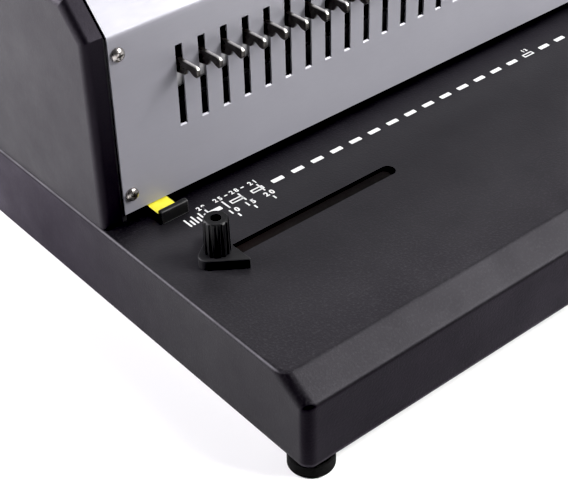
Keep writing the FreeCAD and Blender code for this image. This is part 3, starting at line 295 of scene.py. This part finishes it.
MATS = {
    "body_black": surface("body_black", (0.0053, 0.0049, 0.0060), (0.0071, 0.0066, 0.0080), (0.44, 0.54), grain=760, depth=0.00015, strength=0.8, speck=0.40, edge_wear_and_highlight=(0.05, 0.048, 0.054), edge_wear_and_highlight_amount=0.35, specular=0.145, soft=(0.0026, -0.122, -0.116), slot_shadow=((-177.4 + SX) * MM, (-45.0 + SX) * MM, -0.0496, -0.0400, (56.7 + SZ) * MM), tint=(0.955, 0.905, 1.0), side_bend_highlight=(0.1977, (55.9 + SZ) * MM, (0.075, 0.072, 0.080)), painted_facing_shade=((-0.6, -0.8, 0.0), 0.59, 0.81, 0.4, 0.93), painted_side_shade=(-0.06, 0.06, 1.0), dust_light_and_shade=(-0.125, 0.005, (0.0222, 0.0217, 0.0236), 0.48)),
    "cheek_black": surface("cheek_black", (0.0044, 0.0041, 0.0050), (0.0059, 0.0055, 0.0066), (0.46, 0.56), grain=900, depth=0.00012, strength=0.7, speck=0.32, edge_wear_and_highlight=(0.080, 0.077, 0.084), edge_wear_and_highlight_amount=0.75, edge_wear_and_highlight_radius=0.0011, specular=0.222, soft=(0.0012, 0.20, 0.21), tint=(0.915, 0.81, 1.0), painted_facing_shade=((0.0, -1.0, 0.0), 0.35, 0.70, 0.9, 0.45)),
    "panel_silver": surface("panel_silver", (0.240, 0.236, 0.265), (0.264, 0.260, 0.288), (0.46, 0.54), metallic=0.25, blotch=7, grain=900, depth=0.00001, strength=0.3, stretch=(0.12, 1, 1), edge_wear_and_highlight=(0.70, 0.70, 0.72), edge_wear_and_highlight_amount=0.6, edge_wear_and_highlight_radius=0.0005, painted_end_shade=((-190.0 + SX) * MM, (-95.0 + SX) * MM, (0.180, 0.176, 0.199), (164.0 + SZ) * MM), lift=((70.0 + SZ) * MM, (140.0 + SZ) * MM, 1.15, 0.835, (163.0 + SZ) * MM, (167.0 + SZ) * MM)),
    "plate_zinc": surface("plate_zinc", (0.30, 0.30, 0.31), (0.40, 0.40, 0.39), (0.34, 0.5), metallic=1.0, blotch=22, grain=500, depth=0.00002, scratch=0.5, edge_wear_and_highlight=(0.5, 0.5, 0.5)),
    "screw_bright": surface("screw_bright", (0.26, 0.242, 0.232), (0.37, 0.350, 0.335), (0.245, 0.34), metallic=1.0, blotch=160, grain=3500, depth=0.000008, edge_wear_and_highlight=(0.6, 0.59, 0.58), edge_wear_and_highlight_amount=0.4, edge_wear_and_highlight_radius=0.0003),
    "foot_rubber": surface("foot_rubber", (0.0016, 0.0016, 0.0016), (0.003, 0.0029, 0.0028), (0.72, 0.88), blotch=60, grain=2200, depth=0.00004, speck=0.35, specular=0.07),
    "tool_steel": surface("tool_steel", (0.20, 0.20, 0.205), (0.28, 0.28, 0.285), (0.26, 0.42), metallic=1.0, blotch=25, grain=900, depth=0.000015, stretch=(0.05, 1, 1), edge_wear_and_highlight=(0.42, 0.42, 0.42), edge_wear_and_highlight_radius=0.0004),
    "blackened_steel": surface("blackened_steel", (0.010, 0.010, 0.0105), (0.017, 0.0165, 0.017), (0.42, 0.56), metallic=0.3, blotch=40, grain=1200, depth=0.00002, speck=0.2, edge_wear_and_highlight=(0.05, 0.05, 0.05), edge_wear_and_highlight_amount=0.3, edge_wear_and_highlight_radius=0.0003, specular=0.2),
    "spring_wire": surface("spring_wire", (0.24, 0.235, 0.23), (0.34, 0.335, 0.33), (0.22, 0.36), metallic=1.0, blotch=140, grain=2500, depth=0.00001),
    "bearing_brass": surface("bearing_brass", (0.36, 0.25, 0.09), (0.48, 0.35, 0.15), (0.22, 0.36), metallic=1.0, blotch=90, grain=1600, depth=0.00001, stretch=(1, 0.1, 0.1), edge_wear_and_highlight=(0.6, 0.5, 0.3)),
    "carriage_steel": surface("carriage_steel", (0.37, 0.365, 0.375), (0.44, 0.435, 0.445), (0.36, 0.48), metallic=0.5, blotch=40, grain=900, depth=0.00001, stretch=(0.06, 1, 1), edge_wear_and_highlight=(0.5, 0.5, 0.5), edge_wear_and_highlight_radius=0.0003, painted_lower_shade=((121.0 + SZ) * MM, (131.0 + SZ) * MM, (0.004, 0.004, 0.004))),
    "hook_steel": surface("hook_steel", (0.034, 0.031, 0.029), (0.060, 0.055, 0.051), (0.26, 0.38), metallic=0.8, blotch=260, grain=2600, depth=0.000012, edge_wear_and_highlight=(0.62, 0.61, 0.60), edge_wear_and_highlight_amount=0.8, edge_wear_and_highlight_radius=0.0005, top_highlight=(0.22, 0.70, (0.56, 0.545, 0.52), 0.0085), soft=(0.0007, 0.020, 0.025)),
    "hub_black": surface("hub_black", (0.006, 0.006, 0.0063), (0.0095, 0.0092, 0.0098), (0.42, 0.55), blotch=40, grain=1700, depth=0.00005, speck=0.2, edge_wear_and_highlight=(0.04, 0.04, 0.04), specular=0.3),
    "lever_chrome": surface("lever_chrome", (0.17, 0.17, 0.175), (0.24, 0.24, 0.245), (0.20, 0.30), metallic=1.0, blotch=30, grain=1200, depth=0.000003, scratch=0.4, edge_wear_and_highlight=(0.62, 0.62, 0.62), edge_wear_and_highlight_radius=0.0004),
    "grip_rubber": surface("grip_rubber", (0.005, 0.005, 0.005), (0.0095, 0.0092, 0.0092), (0.62, 0.78), blotch=35, grain=1500, depth=0.00006, speck=0.35, specular=0.2),
    "stop_black": surface("stop_black", (0.0070, 0.0069, 0.0076), (0.0095, 0.0093, 0.0102), (0.46, 0.58), blotch=60, grain=2400, depth=0.00003, speck=0.15, edge_wear_and_highlight=(0.05, 0.05, 0.053), edge_wear_and_highlight_radius=0.0005, specular=0.2),
    "strip_dark": surface("strip_dark", (0.0042, 0.0038, 0.0037), (0.0062, 0.0055, 0.0054), (0.55, 0.7), blotch=35, grain=1500, depth=0.00003, speck=0.12, scratch=0.3, specular=0.06, painted_end_shade=((-158.0 + SX) * MM, (-112.0 + SX) * MM, (0.0078, 0.0062, 0.0060), 1.0)),
    "knob_black": surface("knob_black", (0.0038, 0.0038, 0.0040), (0.0062, 0.0062, 0.0065), (0.30, 0.42), blotch=80, grain=2400, depth=0.000015, edge_wear_and_highlight=(0.04, 0.04, 0.043), edge_wear_and_highlight_radius=0.0004, specular=0.14),
    "tab_black": surface("tab_black", (0.0045, 0.0045, 0.0045), (0.0075, 0.0075, 0.0075), (0.34, 0.46), blotch=60, grain=2400, depth=0.00002, edge_wear_and_highlight=(0.30, 0.30, 0.305), edge_wear_and_highlight_amount=0.9, edge_wear_and_highlight_radius=0.0009, specular=0.17, soft=(0.0005, 0.20, 0.21)),
    "label_yellow": surface("label_yellow", (0.69, 0.61, 0.030), (0.78, 0.70, 0.070), (0.38, 0.5), blotch=120, grain=1800, depth=0.00001, edge_wear_and_highlight=(0.8, 0.74, 0.35), edge_wear_and_highlight_radius=0.0004, specular=0.3),
    "drawer_black": surface("drawer_black", (0.0070, 0.0070, 0.0075), (0.0110, 0.0107, 0.0115), (0.46, 0.6), blotch=18, grain=1300, depth=0.00005, speck=0.2, edge_wear_and_highlight=(0.045, 0.045, 0.045), specular=0.22),
}
INK = surface("print_white", (0.62, 0.62, 0.62), (0.74, 0.74, 0.74), (0.5, 0.62), blotch=300, grain=1500, depth=0.00001, strength=0.3)

slot_of = {s["node"]: s["material_slot"] for s in frame["record"]["subparts"]}
# oiled dark like the beam and the frame they stand in
slot_of["guide_posts"] = slot_of["beam_screws"] = "blackened_steel"
for name, ob in nodes.items():
    ob.data.materials.clear()
    ob.data.materials.append(MATS[slot_of[name]])


# ---------------------------------------------------------------- tray print
def solid_from_loops(bm, outer, inner, z0, z1):
    """A thin flat print mark: a closed outline, with an optional opening of the same number of corners."""
    def ringed(loop, z):
        return [bm.verts.new((x, y, z)) for x, y in loop]
    a0, a1 = ringed(outer, z0), ringed(outer, z1)
    n = len(outer)
    for i in range(n):
        j = (i + 1) % n
        bm.faces.new((a0[i], a0[j], a1[j], a1[i]))
    if not inner:
        bm.faces.new(a1)
        bm.faces.new(a0[::-1])
        return
    b0, b1 = ringed(inner, z0), ringed(inner, z1)
    for i in range(n):
        j = (i + 1) % n
        bm.faces.new((b0[j], b0[i], b1[i], b1[j]))
        bm.faces.new((a1[i], a1[j], b1[j], b1[i]))
        bm.faces.new((a0[j], a0[i], b0[i], b0[j]))


def rounded(cx, cy, w, h, r, steps=4):
    pts = []
    for k, (sx, sy) in enumerate(((1, -1), (1, 1), (-1, 1), (-1, -1))):
        px, py = cx + sx * (w / 2 - r), cy + sy * (h / 2 - r)
        a0 = -90 + 90 * k
        for i in range(steps + 1):
            a = math.radians(a0 + 90 * i / steps)
            pts.append(((px + r * math.cos(a) + SX) * MM, (py + r * math.sin(a)) * MM))
    return pts


def finish_piece(bm, name, mat, body, smooth=False):
    me = bpy.data.meshes.new(name)
    bmesh.ops.recalc_face_normals(bm, faces=bm.faces)
    bm.to_mesh(me)
    bm.free()
    ob = bpy.data.objects.new(name, me)
    scene.collection.objects.link(ob)
    me.materials.append(mat)
    if smooth:
        for p in me.polygons:
            p.use_smooth = True
    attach(ob, body)
    return ob


ZP0, ZP1 = (57.0 + SZ) * MM, (57.05 + SZ) * MM
PITCH = 14.2875
FIRST = -142.875
bm = bmesh.new()
for k in range(21):
    cx = FIRST + PITCH * k
    if k in (1, 2, 17):
        solid_from_loops(bm, rounded(cx, -11, 8.2, 3.2, 0.35), rounded(cx, -11, 6.5, 1.5, 0.15), ZP0, ZP1)
    else:
        solid_from_loops(bm, rounded(cx, -11, 8.0, 3.0, 0.45), None, ZP0, ZP1)
finish_piece(bm, "tray_print_dashes", INK, "frame")

bm = bmesh.new()
for k in range(7):
    x = -161.0 + 14.0 / 6 * k
    y1 = -6.9 if k % 2 == 0 else -9.5
    solid_from_loops(bm, rounded(x, (y1 - 14.2) / 2, 1.0, y1 + 14.2, 0.3), None, ZP0, ZP1)
for x in (-135.7, -124.7, -111.7):
    solid_from_loops(bm, rounded(x, -10.75, 1.0, 7.5, 0.3), None, ZP0, ZP1)
    solid_from_loops(bm, rounded(x, -22.6, 1.0, 3.0, 0.3), None, ZP0, ZP1)
for x in (-130.6, -119.4):
    solid_from_loops(bm, rounded(x, -4.1, 2.2, 0.8, 0.25), None, ZP0, ZP1)
finish_piece(bm, "tray_print_ticks", INK, "frame")


def number_mark(bm, text, cx, cy, size, bold=0.13):
    cu = bpy.data.curves.new("number", "FONT")
    cu.body = text
    cu.size = size * MM
    cu.align_x, cu.align_y = "CENTER", "CENTER"
    cu.extrude = 0.000025
    cu.offset = bold * MM
    ob = bpy.data.objects.new("number", cu)
    scene.collection.objects.link(ob)
    me = bpy.data.meshes.new_from_object(ob.evaluated_get(bpy.context.evaluated_depsgraph_get()))
    me.transform(Matrix.Translation(((cx + SX) * MM, cy * MM, ZP0 + 0.000025)))
    bm.from_mesh(me)
    bpy.data.objects.remove(ob)
    bpy.data.curves.remove(cu)
    bpy.data.meshes.remove(me)


bm = bmesh.new()
for text, x in (("10", -135.7), ("15", -124.7), ("20", -111.7)):
    for half, digit in zip((-1, 1), text):
        number_mark(bm, digit, x + 1.9 * half, -18.0, 5.0, 0.2)
for text, x, y in (("29", -147.4, -4.3), ("25", -136.2, -4.3), ("28", -125.0, -4.1), ("21", -112.4, -4.3), ("12", 101.5, -6.4)):
    for half, digit in zip((-1, 1) if len(text) > 1 else (0,), text):
        number_mark(bm, digit, x + (1.6 if x < 0 else 1.3) * half, y, 4.4 if x < 0 else 3.5)
bmesh.ops.remove_doubles(bm, verts=bm.verts, dist=1e-7)
finish_piece(bm, "tray_print_numbers", INK, "frame")

# ---------------------------------------------------------------- return springs
def coil_spring(bm, cx, cy, z0, z1, radius, wire, turns, closed=1.0, steps=28, sides=10):
    """A round-wire compression spring with closed end turns, standing on z0 and reaching z1."""
    count = int(turns * steps)
    lift = 2.1 * wire * closed
    lo, hi = z0 + wire, z1 - wire
    mid = []
    for i in range(count + 1):
        t = turns * i / count
        if t < closed:
            z = lo + lift * t / closed
        elif t > turns - closed:
            z = hi - lift * (turns - t) / closed
        else:
            z = lo + lift + (hi - lo - 2 * lift) * (t - closed) / (turns - 2 * closed)
        a = 2 * math.pi * t
        mid.append((Vector((cx + radius * math.cos(a), cy + radius * math.sin(a), z)), Vector((math.cos(a), math.sin(a), 0.0))))
    rings = []
    for i, (c, out) in enumerate(mid):
        ahead = (mid[min(i + 1, count)][0] - mid[max(i - 1, 0)][0]).normalized()
        side = ahead.cross(out).normalized()
        rings.append([bm.verts.new((c + wire * (math.cos(2 * math.pi * k / sides) * out + math.sin(2 * math.pi * k / sides) * side)) * MM) for k in range(sides)])
    for r0, r1 in zip(rings, rings[1:]):
        for k in range(sides):
            m = (k + 1) % sides
            bm.faces.new((r0[k], r0[m], r1[m], r1[k]))
    bm.faces.new(rings[0][::-1])
    bm.faces.new(rings[-1])


bm = bmesh.new()
for px in (-110.0, 110.0):
    coil_spring(bm, px + SX, 42.0, 69.7 + SZ, 94.8 + SZ, 5.2, 0.6, 8.0)
springs = finish_piece(bm, "return_spring_pair", MATS["spring_wire"], "frame", smooth=True)
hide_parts("return_springs")
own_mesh(springs)

# ---------------------------------------------------------------- floor, light, camera
bm = bmesh.new()
n, half = 24, 1.9
grid = [[bm.verts.new((-half + 2 * half * i / n, -half + 2 * half * j / n, 0.0)) for j in range(n + 1)] for i in range(n + 1)]
for i in range(n):
    for j in range(n):
        bm.faces.new((grid[i][j], grid[i + 1][j], grid[i + 1][j + 1], grid[i][j + 1]))
me = bpy.data.meshes.new("floor")
bm.to_mesh(me)
bm.free()
floor = bpy.data.objects.new("floor", me)
scene.collection.objects.link(floor)


def floor_paper():
    """Matt white sweep with a faint paper tooth; towards the front right it is painted greyer, a painted shade that
    cuts the light it throws back onto the machine's front.
    """
    m, nt, b = new_material("floor_pale")
    vec = coords(nt)
    tone = mix(nt, ramp(nt, noise(nt, vec, 1.5, 4.0, 0.5), 0.3, 0.7, 0.0, 1.0), (0.90, 0.90, 0.90), (0.93, 0.93, 0.93))
    sep = nt.nodes.new("ShaderNodeSeparateXYZ")
    nt.links.new(vec, sep.inputs["Vector"])
    across = math_node(nt, "SUBTRACT", sep.outputs["X"], sep.outputs["Y"])
    tone = mix(nt, ramp(nt, across, -0.1, 0.5, 0.0, 1.0), tone, (0.62, 0.62, 0.62))
    nt.links.new(tone, b.inputs["Base Color"])
    tooth = noise(nt, vec, 90.0, 3.0, 0.6)
    nt.links.new(ramp(nt, tooth, 0.3, 0.7, 0.75, 0.85), b.inputs["Roughness"])
    bump = node(nt, "ShaderNodeBump", Strength=0.1, Distance=0.0001)
    nt.links.new(tooth, bump.inputs["Height"])
    nt.links.new(bump.outputs["Normal"], b.inputs["Normal"])
    return m


me.materials.append(floor_paper())

world = bpy.data.worlds.new("studio")
world.use_nodes = True
wt = world.node_tree
bg = wt.nodes["Background"]
bg.inputs["Color"].default_value = (1.0, 1.0, 1.0, 1.0)
bg.inputs["Strength"].default_value = 0.04
# a plain white wall stands far behind in every direction; it is seen but gives no light of its own
wall_bg = wt.nodes.new("ShaderNodeBackground")
wall_bg.inputs["Color"].default_value = (1.0, 1.0, 1.0, 1.0)
wall_bg.inputs["Strength"].default_value = 1.0
seen = wt.nodes.new("ShaderNodeLightPath")
pick = wt.nodes.new("ShaderNodeMixShader")
wt.links.new(seen.outputs["Is Camera Ray"], pick.inputs[0])
wt.links.new(bg.outputs["Background"], pick.inputs[1])
wt.links.new(wall_bg.outputs["Background"], pick.inputs[2])
wt.links.new(pick.outputs["Shader"], wt.nodes["World Output"].inputs["Surface"])
scene.world = world


def softbox(name, at, aim, size, power, tint=(1, 1, 1)):
    ld = bpy.data.lights.new(name, "AREA")
    ld.shape = "RECTANGLE"
    ld.size, ld.size_y = size
    ld.energy = power
    ld.color = tint
    ob = bpy.data.objects.new(name, ld)
    scene.collection.objects.link(ob)
    ob.location = at
    ob.rotation_mode = "QUATERNION"
    ob.rotation_quaternion = (Vector(aim) - Vector(at)).to_track_quat("-Z", "Y")
    return ob


softbox("back_left", (-1.72, 1.57, 1.18), (0.0, 0.0, 0.1), (1.78, 1.42), 150, (1.015, 0.995, 1.035))
softbox("over_right", (1.0, -0.5, 1.66), (0.0, 0.0, 0.1), (1.2, 1.2), 25)
softbox("front_right", (1.0, -1.22, 1.24), (0.0, 0.0, 0.1), (1.0, 1.0), 78)
softbox("back_right", (1.22, 1.50, 1.60), (0.0, 0.0, 0.1), (1.9, 1.7), 78)

scene.view_settings.view_transform = "Standard"
scene.view_settings.use_curve_mapping = True
scene.view_settings.curve_mapping.black_level = (0.008, 0.008, 0.008)
scene.view_settings.curve_mapping.update()

cam_data = bpy.data.cameras.new("camera")
cam = bpy.data.objects.new("camera", cam_data)
scene.collection.objects.link(cam)
cam_data.sensor_width = 36.0
cam_data.lens = 91.48
cam_data.clip_start, cam_data.clip_end = 0.01, 50.0
az, el, roll = math.radians(-39.02), math.radians(37.483), math.radians(-1.574)
back = Vector((math.sin(az) * math.cos(el), -math.cos(az) * math.cos(el), math.sin(el)))
right = (-back).cross(Vector((0, 0, 1))).normalized()
up = right.cross(-back)
cx = math.cos(roll) * right + math.sin(roll) * up
cy = -math.sin(roll) * right + math.cos(roll) * up
cam.matrix_world = Matrix((
    (cx.x, cy.x, back.x, -0.50356 + SX * MM),
    (cx.y, cy.y, back.y, -0.51297),
    (cx.z, cy.z, back.z, 0.50907 + SZ * MM),
    (0, 0, 0, 1)))
scene.camera = cam
